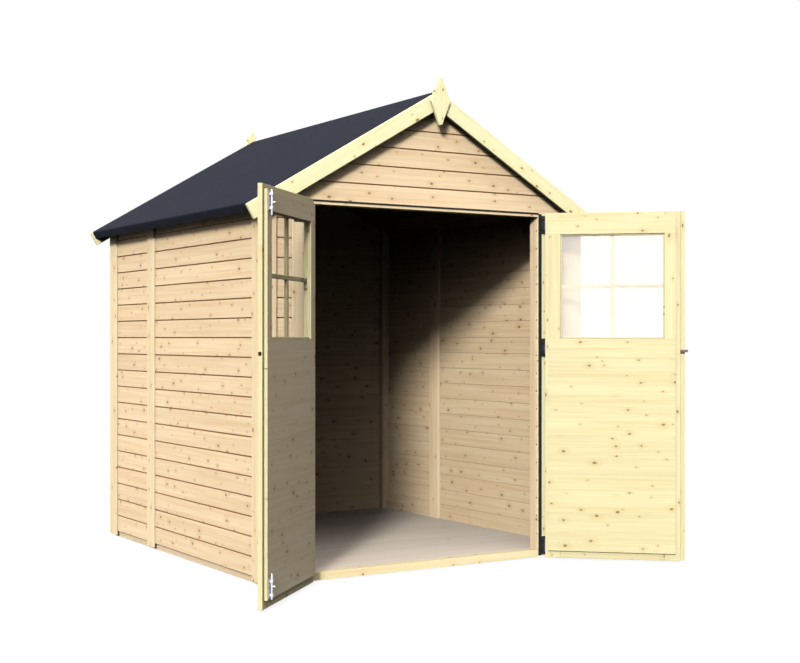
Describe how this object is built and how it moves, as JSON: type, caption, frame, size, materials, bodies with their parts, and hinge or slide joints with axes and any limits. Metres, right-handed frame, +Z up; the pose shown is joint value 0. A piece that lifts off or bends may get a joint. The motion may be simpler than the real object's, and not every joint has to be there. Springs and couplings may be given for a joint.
{
  "type": "wooden garden shed",
  "caption": "Small gable-roofed garden shed of horizontal softwood boards with cover strips, felt roof, diamond finials and a pair of half-glazed doors that swing outwards.",
  "frame": {"origin": "on the ground, under the middle of the floor", "axes": "+Z up, the doors face -Y, +X to the right when facing the doors"},
  "size_m": [2.3028, 2.4799, 2.3145],
  "materials": {
    "wall_boards": "planed softwood, untreated",
    "cover_strips": "planed softwood, untreated",
    "framing": "planed softwood, untreated",
    "floor": "sawn softwood boards",
    "roofing_felt": "mineral-faced bitumen felt",
    "door_wood": "planed softwood, untreated",
    "glazing": "clear",
    "hinge_steel": "black-coated steel",
    "bolt_metal": "pale zinc, satin",
    "lock_metal": "dark brown, satin"
  },
  "bodies": {
    "root": {"left_wall_front_panel": "wall_boards", "left_wall_rear_panel": "wall_boards", "right_wall_front_panel": "wall_boards", "right_wall_rear_panel": "wall_boards", "rear_wall_left_panel": "wall_boards", "rear_wall_right_panel": "wall_boards", "rear_gable": "wall_boards", "front_wall_side_panels": "wall_boards", "front_gable": "wall_boards", "side_cover_strips": "cover_strips", "gable_cover_strips": "cover_strips", "door_trims": "cover_strips", "door_head": "cover_strips", "door_sill": "cover_strips", "front_left_barge_board": "cover_strips", "front_right_barge_board": "cover_strips", "rear_left_barge_board": "cover_strips", "rear_right_barge_board": "cover_strips", "front_finial": "cover_strips", "rear_finial": "cover_strips", "floor_bearers": "framing", "corner_posts": "framing", "joint_battens": "framing", "door_posts": "framing", "left_roof_deck": "framing", "right_roof_deck": "framing", "eaves_battens": "framing", "roof_purlins": "framing", "floor_deck": "floor", "roof_felt": "roofing_felt", "left_hinge_plates": "hinge_steel", "right_hinge_plates": "hinge_steel"},
    "left_door": {"left_door_stiles": "door_wood", "left_door_rails": "door_wood", "left_door_boards": "door_wood", "left_door_side_boards": "door_wood", "left_door_glass": "glazing", "left_hinge_straps": "hinge_steel", "bolt_plates": "bolt_metal"},
    "right_door": {"right_door_stiles": "door_wood", "right_door_rails": "door_wood", "right_door_boards": "door_wood", "right_door_side_boards": "door_wood", "right_door_glass": "glazing", "right_hinge_straps": "hinge_steel", "right_door_astragal": "door_wood", "door_knob": "lock_metal"},
    "left_top_bolt": {"left_top_bolt": "bolt_metal"},
    "left_bottom_bolt": {"left_bottom_bolt": "bolt_metal"},
    "lock_bolt": {"lock_bolt": "lock_metal"}
  },
  "joints": [
    {"name": "left_door_swing", "type": "hinge", "parent": "root", "child": "left_door", "pos_m": [-0.686, -0.9765, 0], "axis": [0, 0, -1], "range_deg": [-136.5, 31.5]},
    {"name": "right_door_swing", "type": "hinge", "parent": "root", "child": "right_door", "pos_m": [0.64, -0.9765, 0], "axis": [0, 0, 1], "range_deg": [-137, 31]},
    {"name": "left_top_bolt_slide", "type": "slide", "parent": "left_door", "child": "left_top_bolt", "axis": [0, 0, 1], "range_m": [0, 0.02]},
    {"name": "left_bottom_bolt_slide", "type": "slide", "parent": "left_door", "child": "left_bottom_bolt", "axis": [0, 0, -1], "range_m": [0, 0.02]},
    {"name": "lock_bolt_slide", "type": "slide", "parent": "right_door", "child": "lock_bolt", "axis": [0.7314, -0.682, 0], "range_m": [-0.034, 0]}
  ]
}
